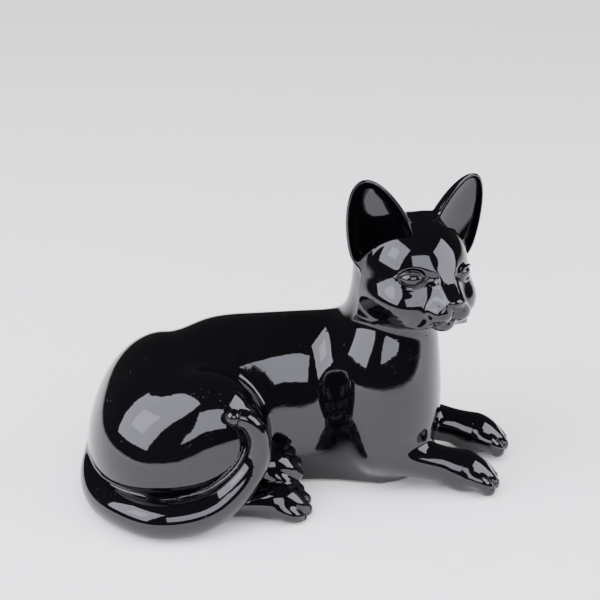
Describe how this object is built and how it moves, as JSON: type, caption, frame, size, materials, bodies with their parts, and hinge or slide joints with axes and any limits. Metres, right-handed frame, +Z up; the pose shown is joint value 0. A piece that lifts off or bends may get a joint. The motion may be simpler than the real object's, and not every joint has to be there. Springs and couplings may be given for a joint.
{
  "type": "cat figurine",
  "caption": "Glossy black ceramic figurine of a reclining cat, head raised and turned to its right, forelegs stretched out and tail curled round the haunch.",
  "frame": {"origin": "middle of the figurine's footprint in plan, on the surface it stands on", "axes": "+X towards the cat's breast and forepaws, +Y towards its left flank, +Z up"},
  "size_m": [0.2858, 0.1664, 0.2095],
  "materials": {
    "glaze": "high-gloss black glaze on a fired clay body",
    "felt": "dense black felt"
  },
  "bodies": {
    "root": {"body_casting": "glaze", "head_casting": "glaze", "right_ear": "glaze", "left_ear": "glaze", "tail": "glaze", "right_foreleg": "glaze", "left_foreleg": "glaze", "right_hind_foot": "glaze", "left_hind_foot": "glaze", "rear_right_pad": "felt", "rear_left_pad": "felt", "front_right_pad": "felt", "front_left_pad": "felt"}
  },
  "joints": []
}
